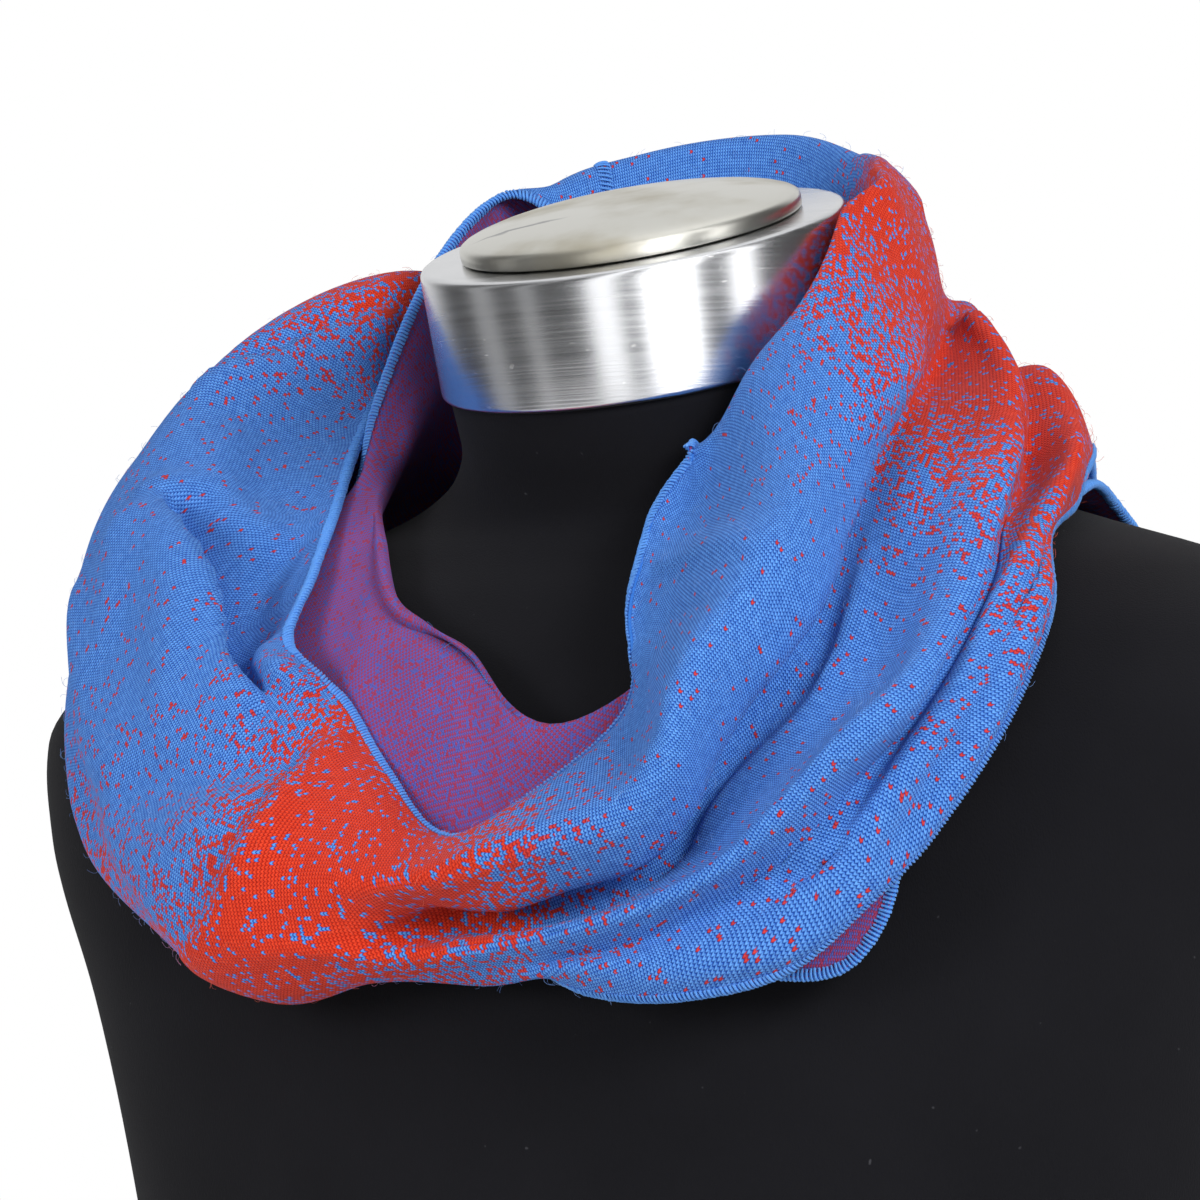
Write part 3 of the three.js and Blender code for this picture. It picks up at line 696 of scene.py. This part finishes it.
def brushed_metal():
    f = Finish("brushed_metal", {"Metallic": 1.0})
    drawn = f.noise(f.scaled(f.place(), (14.0, 14.0, 1500.0)), 1.0, 3.0)
    broad = f.noise(f.scaled(f.place(), (60.0, 60.0, 30.0)), 1.0, 2.0)
    ring = f.noise(f.scaled(f.place(), (3.0, 3.0, 420.0)), 1.0, 2.0)
    nick = f.noise(f.scaled(f.place(), (260.0, 260.0, 700.0)), 1.0, 1.0).ramp(0.74, 0.78)
    colour = f.blend(drawn * 0.5 + broad * 0.3, linear(186, 188, 193), linear(236, 236, 236))
    colour = f.shade(colour, (0.82 + ring * 0.36).at_most(1))
    f.use(Base_Color=f.blend(nick * 0.8, colour, linear(245, 245, 245)),
          Roughness=0.15 + drawn * 0.13 + ring * 0.06, Normal=f.bump(drawn, 0.0001, 0.3))
    return f.material


def satin_plate():
    f = Finish("satin_plate", {"Metallic": 1.0})
    x, y, _ = f.split(f.place())
    drawn = f.noise(f.scaled(f.place(), (900.0, 30.0, 30.0)), 1.0, 3.0)
    stain = f.noise(f.place(), 34.0, 4.0).ramp(0.4, 0.75)
    scuff_x = (x * 1000 + 17 + f.noise(f.place(), 60.0, 3.0) * 5) / 13
    scuff_y = (y * 1000 + 26 - x * 300 + f.noise(f.scaled(f.place(), (60.0, 200.0, 60.0)), 1.0, 3.0) * 7) / 1.6
    scuff = (1 - (scuff_x * scuff_x + scuff_y * scuff_y)).ramp(0.0, 0.9)
    colour = f.blend(stain, linear(206, 205, 198), linear(176, 170, 152))
    colour = f.blend(scuff * 0.75, colour, linear(86, 88, 96))
    f.use(Base_Color=colour, Roughness=0.3 + stain * 0.15, Normal=f.bump(drawn, 0.0001, 0.2))
    return f.material


def floor_paint():
    f = Finish("floor_paint", {"Roughness": 0.7})
    cloud = f.noise(f.place(), 3.0, 3.0)
    f.use(Base_Color=f.blend(cloud, (0.80, 0.80, 0.80), (0.86, 0.86, 0.86)))
    return f.material


# Stitches and fibres, made by Geometry Nodes
class Tree:
    """A Geometry Nodes tree with named inputs."""

    def __init__(self, name, inputs):
        self.tree = bpy.data.node_groups.new(name, "GeometryNodeTree")
        for title, kind in inputs:
            self.tree.interface.new_socket(title, in_out="INPUT", socket_type="NodeSocket" + kind)
        self.tree.interface.new_socket("Geometry", in_out="OUTPUT", socket_type="NodeSocketGeometry")
        self.given = self.tree.nodes.new("NodeGroupInput").outputs

    def node(self, kind, settings=None, **inputs):
        made = self.tree.nodes.new(kind)
        for setting, value in (settings or {}).items():
            setattr(made, setting, value)
        for title, value in inputs.items():
            socket = made.inputs[title.replace("_", " ")]
            if isinstance(value, bpy.types.NodeSocket):
                self.tree.links.new(value, socket)
            else:
                socket.default_value = value
        return made.outputs

    def finished(self, instances):
        """Instances made real, given their finish and put out."""
        real = self.node("GeometryNodeRealizeInstances", Geometry=instances)[0]
        dressed_mesh = self.node("GeometryNodeSetMaterial", Geometry=real, Material=self.given["Finish"])[0]
        self.tree.links.new(dressed_mesh, self.tree.nodes.new("NodeGroupOutput").inputs["Geometry"])
        return self.tree

    def applied(self, piece, **sizes):
        """The tree's result on a piece, with these sizes, as a plain mesh."""
        modifier = piece.modifiers.new("nodes", "NODES")
        modifier.node_group = self.tree
        for item in self.tree.interface.items_tree:
            title = item.name.replace(" ", "_")
            if item.in_out == "INPUT" and title in sizes:
                modifier[item.identifier] = sizes[title]
        bpy.context.view_layer.update()
        seen = piece.evaluated_get(bpy.context.evaluated_depsgraph_get())
        mesh = bpy.data.meshes.new_from_object(seen)
        piece.modifiers.remove(modifier)
        mesh.name = piece.name
        piece.data = mesh
        mesh.polygons.foreach_set("use_smooth", np.ones(len(mesh.polygons), bool))
        return piece


def stitch_tree():
    """A bent piece of thread on every point, set by the point's own directions."""
    t = Tree("thread_stitches", [("Geometry", "Geometry"), ("Start", "Vector"), ("First Handle", "Vector"),
                                 ("Second Handle", "Vector"), ("End", "Vector"), ("Thread Radius", "Float"),
                                 ("Uneven", "Float"), ("Seed", "Int"), ("Finish", "Material")])
    path = t.node("GeometryNodeCurvePrimitiveBezierSegment", {"mode": "POSITION"}, Resolution=7,
                  Start=t.given["Start"], Start_Handle=t.given["First Handle"],
                  End_Handle=t.given["Second Handle"], End=t.given["End"])[0]
    round_thread = t.node("GeometryNodeCurvePrimitiveCircle", {"mode": "RADIUS"}, Resolution=4,
                          Radius=t.given["Thread Radius"])["Curve"]
    stitch = t.node("GeometryNodeCurveToMesh", Curve=path, Profile_Curve=round_thread, Fill_Caps=True)[0]
    along = t.node("GeometryNodeInputNamedAttribute", {"data_type": "FLOAT_VECTOR"}, Name="along")[0]
    facing = t.node("GeometryNodeInputNamedAttribute", {"data_type": "FLOAT_VECTOR"}, Name="facing")[0]
    turned_to = t.node("FunctionNodeAxesToRotation", {"primary_axis": "X", "secondary_axis": "Z"},
                       Primary_Axis=along, Secondary_Axis=facing)[0]
    less = t.node("ShaderNodeMath", {"operation": "SUBTRACT"})
    spread = less[0].node
    spread.inputs[0].default_value = 1.0
    t.tree.links.new(t.given["Uneven"], spread.inputs[1])
    size = t.node("FunctionNodeRandomValue", {"data_type": "FLOAT"}, Seed=t.given["Seed"])
    chance = size[0].node
    numbers = [socket for socket in chance.inputs if socket.type == "VALUE" and socket.enabled]
    t.tree.links.new(less[0], numbers[0])
    numbers[1].default_value = 1.0
    value = next(socket for socket in chance.outputs if socket.enabled)
    return t, t.finished(t.node("GeometryNodeInstanceOnPoints", Points=t.given["Geometry"], Instance=stitch,
                                Rotation=turned_to, Scale=value)[0])


def fibre_tree():
    """Short curved hairs scattered by chance over the right side."""
    t = Tree("loose_fibres", [("Geometry", "Geometry"), ("Hairs A Square Metre", "Float"), ("Length", "Float"),
                              ("Thickness", "Float"), ("Seed", "Int"), ("Finish", "Material")])
    side = t.node("GeometryNodeInputMaterialIndex")[0]
    right = t.node("FunctionNodeCompare", {"data_type": "INT", "operation": "EQUAL"})
    numbers = [socket for socket in right[0].node.inputs if socket.type == "INT"]
    t.tree.links.new(side, numbers[0])
    numbers[1].default_value = 0
    spots = t.node("GeometryNodeDistributePointsOnFaces", {"distribute_method": "RANDOM"},
                   Mesh=t.given["Geometry"], Selection=right[0],
                   Density=t.given["Hairs A Square Metre"], Seed=t.given["Seed"])
    path = t.node("GeometryNodeCurvePrimitiveBezierSegment", {"mode": "POSITION"}, Resolution=4,
                  Start=(0, 0, -0.1), Start_Handle=(0.1, 0.05, 0.45), End_Handle=(0.55, 0.1, 0.4),
                  End=(1, -0.15, 0.25))[0]
    round_hair = t.node("GeometryNodeCurvePrimitiveCircle", {"mode": "RADIUS"}, Resolution=3,
                        Radius=t.given["Thickness"])["Curve"]
    hair = t.node("GeometryNodeCurveToMesh", Curve=path, Profile_Curve=round_hair)[0]
    turn = t.node("FunctionNodeRandomValue", {"data_type": "FLOAT_VECTOR"}, Seed=t.given["Seed"])
    chance = turn[0].node
    vectors = [socket for socket in chance.inputs if socket.type == "VECTOR"]
    vectors[0].default_value = (-0.35, -0.45, -math.pi)
    vectors[1].default_value = (0.35, 0.25, math.pi)
    value = next(socket for socket in chance.outputs if socket.type == "VECTOR")
    laid = t.node("FunctionNodeRotateRotation", {"rotation_space": "LOCAL"}, Rotation=spots["Rotation"],
                  Rotate_By=value)[0]
    scale = t.node("FunctionNodeRandomValue", {"data_type": "FLOAT"}, Seed=t.given["Seed"])
    chance = scale[0].node
    numbers = [socket for socket in chance.inputs if socket.type == "VALUE" and socket.enabled]
    numbers[0].default_value = 0.4
    numbers[1].default_value = 1.0
    value = next(socket for socket in chance.outputs if socket.enabled)
    size = t.node("ShaderNodeMath", {"operation": "MULTIPLY"})
    t.tree.links.new(value, size[0].node.inputs[0])
    t.tree.links.new(t.given["Length"], size[0].node.inputs[1])
    return t, t.finished(t.node("GeometryNodeInstanceOnPoints", Points=spots["Points"], Instance=hair,
                                Rotation=laid, Scale=size[0])[0])


def stepped(line, step):
    """A line of points at even steps: for each, its row number and the share to the next row."""
    reach = np.concatenate([[0], np.cumsum(np.linalg.norm(np.diff(line, axis=0), axis=1))])
    count = int(reach[-1] / step)
    at = np.linspace(0, reach[-1], count, endpoint=False)
    k = np.clip(np.searchsorted(reach, at, side="right") - 1, 0, len(line) - 2)
    return k, ((at - reach[k]) / (reach[k + 1] - reach[k]))[:, None]


def stitch_points(name, line, facings, step, backwards=False):
    """Points along a line on the cloth, each with the directions its stitch needs."""
    k, t = stepped(line, step)
    places = line[k] * (1 - t) + line[k + 1] * t
    ways = unit(line[k + 1] - line[k]) * (-1 if backwards else 1)
    fronts = unit(facings[k] * (1 - t) + facings[k + 1] * t)
    mesh = bpy.data.meshes.new(name)
    mesh.from_pydata((places * MM).tolist(), [], [])
    for title, values in (("along", ways), ("facing", fronts)):
        mesh.attributes.new(title, "FLOAT_VECTOR", "POINT").data.foreach_set("vector", values.reshape(-1))
    piece = bpy.data.objects.new(name, mesh)
    bpy.context.collection.objects.link(piece)
    return piece


def edge_core(name, line, inwards, facings):
    """The loops of thread that fill the edge, as one soft bead round it."""
    turn = np.linspace(0, 2 * np.pi, 10, endpoint=False)
    centre = line + inwards * (EDGE_WIDTH / 2 - 0.55)
    ring = (centre[:, None] + inwards[:, None] * np.cos(turn)[None, :, None] * EDGE_WIDTH / 2
            + facings[:, None] * np.sin(turn)[None, :, None] * (CLOTH / 2 + 0.05))
    rows = len(line)
    at = np.arange(rows * 10).reshape(rows, 10)
    ahead = np.roll(at, -1, 0)
    faces = np.stack([at, ahead, np.roll(ahead, -1, 1), np.roll(at, -1, 1)], -1).reshape(-1, 4)
    mesh = bpy.data.meshes.new(name)
    mesh.from_pydata((ring.reshape(-1, 3) * MM).tolist(), [], faces.tolist())
    mesh.polygons.foreach_set("use_smooth", np.ones(len(faces), bool))
    build = bmesh.new()
    build.from_mesh(mesh)
    bmesh.ops.recalc_face_normals(build, faces=build.faces)
    build.to_mesh(mesh)
    build.free()
    piece = bpy.data.objects.new(name, mesh)
    bpy.context.collection.objects.link(piece)
    return piece


# The thread's path in one stitch, in millimetres: along the edge, inwards from it, out of the right side
OVERLOCK = {"Start": (-1.0, 1.9, 0.75), "First_Handle": (-0.4, -1.5, 1.9), "Second_Handle": (0.6, -1.5, -1.9),
            "End": (0.2, 1.9, -0.75)}
ZIGZAG = {"Start": (-0.6, -1.9, 0.1), "First_Handle": (-0.3, -1.2, 0.75), "Second_Handle": (0.3, 1.2, 0.75),
          "End": (0.6, 1.9, 0.1)}


def sewing(points, facing, turns):
    """Both overlocked edges and the join seam."""
    tree, _ = stitch_tree()
    thread = overlock_thread()
    filling = edge_filling()
    pieces = []
    onward = unit(np.roll(points, -1, 0) - np.roll(points, 1, 0))
    for name, column, next_column, backwards in (("neck_edge", 0, 1, False), ("hem", -1, -2, True)):
        line = points[:, column]
        inwards = points[:, next_column] - line
        inwards = unit(inwards - onward[:, column] * (inwards * onward[:, column]).sum(1, keepdims=True))
        fronts = unit(np.cross(onward[:, column], inwards)) * (-1 if backwards else 1)
        core = edge_core(name + "_overlock_core", line, inwards, fronts)
        core.data.materials.append(filling)
        closed = np.concatenate([line, line[:1]])
        loops = stitch_points(name + "_overlock", closed, np.concatenate([fronts, fronts[:1]]),
                              STITCH_STEP, backwards)
        tree.applied(loops, Thread_Radius=EDGE_THREAD * MM, Uneven=0.14, Seed=11, Finish=thread,
                     **{key: [c * MM for c in value] for key, value in OVERLOCK.items()})
        pieces += [core, loops]
    row = int(np.argmin(abs(turns - SEAM_TURN)))
    for name, side in (("join_seam", 1), ("join_seam_inside", -1)):
        line = points[row] + facing[row] * side * CLOTH / 2
        loops = stitch_points(name, line, facing[row] * side, SEAM_STEP)
        tree.applied(loops, Thread_Radius=SEAM_THREAD * MM, Uneven=0.14, Seed=23, Finish=thread,
                     **{key: [c * MM for c in value] for key, value in ZIGZAG.items()})
        pieces.append(loops)
    return pieces


def fibres(cloth):
    """Fine hairs on the cloth's right side."""
    tree, _ = fibre_tree()
    piece = bpy.data.objects.new("loose_fibres", cloth.data.copy())
    bpy.context.collection.objects.link(piece)
    return tree.applied(piece, Hairs_A_Square_Metre=FIBRES, Length=FIBRE_LENGTH * MM, Thickness=0.015, Seed=5,
                        Finish=loose_fibre())


# The bust and its neck cap
NECK_TILT = 13
CAP_TOP = (-12, 430)
CAP_RADIUS = 55
CAP_HEIGHT = 33.3
PLATE_RADIUS = 44

FORM_RINGS = [
    # z, y, lean, half_width, front, back, power
    (0, 0, 0, 139, 92, 88, 2.4),
    (4, 0, 0, 143, 96, 92, 2.4),
    (60, 0, 0, 144, 99, 93, 2.4),
    (130, 0, 0, 149, 106, 95, 2.4),
    (190, 0, 0, 156, 111, 97, 2.4),
    (240, 1, 0, 168, 109, 97, 2.4),
    (280, 3, 0, 187, 100, 92, 2.3),
    (305, 5, 0, 193, 90, 86, 2.2),
    (325, 8, 0, 178, 79, 76, 2.1),
    (340, 10, 0, 148, 69, 68, 2.0),
    (352, 12, 1, 108, 61, 60, 2.0),
    (362, 11, 4, 78, 56, 56, 2.0),
    (373, 7, 8, 61, 54, 54, 2.0),
    (385, 1, 12, 54, 53, 53, 2.0),
    (397.3, -4.4, 13, 53, 53, 53, 2.0),
]


def closed_rings(name, rings):
    """Rings of equal count, in millimetres, as one closed skin."""
    count = len(rings[0])
    points = np.concatenate([*rings, [np.mean(rings[0], 0)], [np.mean(rings[-1], 0)]])
    faces = []
    for i in range(len(rings) - 1):
        for k in range(count):
            a = i * count + k
            b = i * count + (k + 1) % count
            faces.append((a, b, b + count, a + count))
    low = len(points) - 2
    top = (len(rings) - 1) * count
    for k in range(count):
        faces.append((low, (k + 1) % count, k))
        faces.append((low + 1, top + k, top + (k + 1) % count))
    mesh = bpy.data.meshes.new(name)
    mesh.from_pydata((points * MM).tolist(), [], faces)
    mesh.polygons.foreach_set("use_smooth", np.ones(len(faces), bool))
    made = bpy.data.objects.new(name, mesh)
    bpy.context.collection.objects.link(made)
    return made


def bust_form():
    table = np.array(FORM_RINGS, float)
    levels = np.concatenate([[0, 0.6, 1.6, 2.8, 4, 6], np.linspace(8, 240, 30), np.linspace(245, 397.3, 62)])
    y, lean, half, front, back, power = [
        without_overshoot(table[:, 0], table[:, k], levels) for k in range(1, 7)
    ]
    turn = np.linspace(0, 2 * np.pi, 144, endpoint=False)
    rings = []
    for i, z in enumerate(levels):
        c = np.sign(np.cos(turn)) * np.abs(np.cos(turn)) ** (2 / power[i])
        s = np.sign(np.sin(turn)) * np.abs(np.sin(turn)) ** (2 / power[i])
        depth = np.where(s < 0, front[i], back[i]) * s
        tilt = math.radians(lean[i])
        rings.append(np.stack([half[i] * c, y[i] + depth * math.cos(tilt), z + depth * math.sin(tilt)], 1))
    return closed_rings("bust_cover", rings)


CAP_PROFILE = [
    # radius, height above the top face
    (53.8, -33.3), (54.5, -33.0), (54.9, -32.5), (55, -31.8), (55, -2.2), (54.85, -1.2), (54.4, -0.5), (53.7, -0.1),
    (52.6, 0),
]
PLATE_PROFILE = [
    # radius, height above the cap's top face
    (43.4, 0.3), (43.9, 0.6), (44, 1.2), (44, 3.0), (43.6, 3.9), (42.6, 4.6), (40.6, 5.4), (37, 6.4), (32, 7.4),
    (26, 8.2), (19, 8.8), (12, 9.15), (5, 9.25),
]


def turned(name, profile, sides=160):
    tilt = math.radians(NECK_TILT)
    angle = np.linspace(0, 2 * np.pi, sides, endpoint=False)
    rings = []
    for radius, height in profile:
        along = radius * np.sin(angle)
        rings.append(np.stack([
            radius * np.cos(angle),
            CAP_TOP[0] + along * math.cos(tilt) - height * math.sin(tilt),
            CAP_TOP[1] + along * math.sin(tilt) + height * math.cos(tilt),
        ], 1))
    return closed_rings(name, rings)


def dressed(piece, finishes, stands_for):
    """A finished piece on the body, standing for its solids."""
    for finish in finishes:
        piece.data.materials.append(finish)
    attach(piece, "root")
    if stands_for:
        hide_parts(*stands_for)
    return piece


# The camera and the light
def camera():
    turn, pitch, roll = (math.radians(a) for a in (30, 2.13, 3.53))
    back = Vector((math.sin(turn) * math.cos(pitch), -math.cos(turn) * math.cos(pitch), math.sin(pitch)))
    level = Vector((math.cos(turn), math.sin(turn), 0))
    upright = back.cross(level)
    right = math.cos(roll) * level - math.sin(roll) * upright
    up = math.sin(roll) * level + math.cos(roll) * upright
    data = bpy.data.cameras.new("camera")
    data.lens = 129.4
    data.sensor_width = 36
    made = bpy.data.objects.new("camera", data)
    bpy.context.collection.objects.link(made)
    made.matrix_world = Matrix((
        (right.x, up.x, back.x, 538.05 * MM),
        (right.y, up.y, back.y, -971.53 * MM),
        (right.z, up.z, back.z, 378.3 * MM),
        (0, 0, 0, 1),
    ))
    bpy.context.scene.camera = made


def softbox(name, azimuth, elevation, distance, size, power):
    """A large lamp at a direction round the neck, as the camera's angles are given."""
    a, e = math.radians(azimuth), math.radians(elevation)
    away = Vector((math.sin(a) * math.cos(e), -math.cos(a) * math.cos(e), math.sin(e)))
    data = bpy.data.lights.new(name, "AREA")
    data.shape = "RECTANGLE"
    data.size, data.size_y = size
    data.energy = power
    lamp = bpy.data.objects.new(name, data)
    bpy.context.collection.objects.link(lamp)
    lamp.location = Vector((0, 0, 0.33)) + away * distance
    lamp.visible_glossy = False
    lamp.rotation_mode = "QUATERNION"
    lamp.rotation_quaternion = (-away).to_track_quat("-Z", "Y")


# The white surround: how bright it is seen from the object, by direction round the neck
BEHIND = 0.29           # the lit background, as light
FRONT = 0.30            # the dim side, where the camera stands
PANELS = [
    # azimuth, half_width, strength
    (-64, 6, 0.4),
    (-34, 3, 0.5),
    (9, 7, 1.9),
    (35, 4, 2.2),
    (49, 9, 3.2),
    (86, 6, 2.4),
]


def surround():
    """A lit background, a dim front and some tall white panels; the camera sees plain white."""
    world = bpy.data.worlds.new("white_surround")
    world.use_nodes = True
    nodes = world.node_tree.nodes
    links = world.node_tree.links

    def math_node(operation, first, second=None):
        node = nodes.new("ShaderNodeMath")
        node.operation = operation
        for i, value in enumerate((first, second)):
            if isinstance(value, bpy.types.NodeSocket):
                links.new(value, node.inputs[i])
            elif value is not None:
                node.inputs[i].default_value = value
        return node.outputs[0]

    def ramp(value, low, high, start, end):
        node = nodes.new("ShaderNodeMapRange")
        node.interpolation_type = "SMOOTHSTEP"
        for name, number in (("From Min", low), ("From Max", high), ("To Min", start), ("To Max", end)):
            node.inputs[name].default_value = number
        links.new(value, node.inputs["Value"])
        return node.outputs["Result"]

    split = nodes.new("ShaderNodeSeparateXYZ")
    links.new(nodes.new("ShaderNodeTexCoord").outputs["Generated"], split.inputs[0])
    x, y, z = split.outputs
    azimuth = math_node("ARCTAN2", x, math_node("MULTIPLY", y, -1.0))
    from_camera = math_node("ABSOLUTE", math_node("SUBTRACT", azimuth, math.radians(30)))
    path = nodes.new("ShaderNodeLightPath").outputs
    seen = path["Is Camera Ray"]
    mirrored = path["Is Glossy Ray"]
    soft = ramp(from_camera, math.radians(75), math.radians(120), FRONT, BEHIND)
    soft = math_node("ADD", soft, ramp(z, 0.55, 0.95, 0.0, 0.15))
    sharp = ramp(from_camera, math.radians(118), math.radians(150), 0.10, 0.9)
    sharp = math_node("ADD", sharp, ramp(z, 0.75, 0.95, 0.0, 0.5))
    for middle, half, strength in PANELS:
        off = math_node("ABSOLUTE", math_node("SUBTRACT", azimuth, math.radians(middle)))
        sharp = math_node("ADD", sharp, ramp(off, math.radians(half), math.radians(half + 3), strength, 0.0))
    light = math_node("ADD", math_node("MULTIPLY", sharp, mirrored),
                      math_node("MULTIPLY", soft, math_node("SUBTRACT", 1.0, mirrored)))
    mixed = math_node("ADD", math_node("MULTIPLY", light, math_node("SUBTRACT", 1.0, seen)), seen)
    links.new(mixed, nodes["Background"].inputs["Strength"])
    nodes["Background"].inputs["Color"].default_value = (1, 1, 1, 1)
    bpy.context.scene.world = world


def studio():
    surround()
    bpy.context.scene.view_settings.view_transform = "Standard"
    softbox("key", 66, 24, 1.5, (0.7, 0.5), 20)
    softbox("left_fill", -28, 14, 1.6, (0.6, 0.6), 13)
    mesh = bpy.data.meshes.new("floor")
    build = bmesh.new()
    bmesh.ops.create_circle(build, cap_ends=True, segments=96, radius=0.72)
    build.to_mesh(mesh)
    build.free()
    floor = bpy.data.objects.new("floor", mesh)
    bpy.context.collection.objects.link(floor)
    floor.data.materials.append(floor_paint())


camera()
studio()

CLOTH_NODES = ["upper_back", "right_front", "front", "left_shoulder", "lower_back", "inner_right", "inner_front",
               "inner_left"]

cloth, points, facing, turns, shares = cloth_sheet()
dressed(cloth, [knit_right_side(), knit_wrong_side()], CLOTH_NODES)
bust = dressed(bust_form(), [black_jersey()], ["form_body"])
cap = dressed(turned("neck_cap_ring", CAP_PROFILE), [brushed_metal()], ["neck_cap"])
plate = dressed(turned("neck_cap_plate", PLATE_PROFILE), [satin_plate()], ["cap_plate"])
trimmings = sewing(points, facing, turns) + [fibres(cloth)]
for piece in trimmings:
    dressed(piece, [], [])
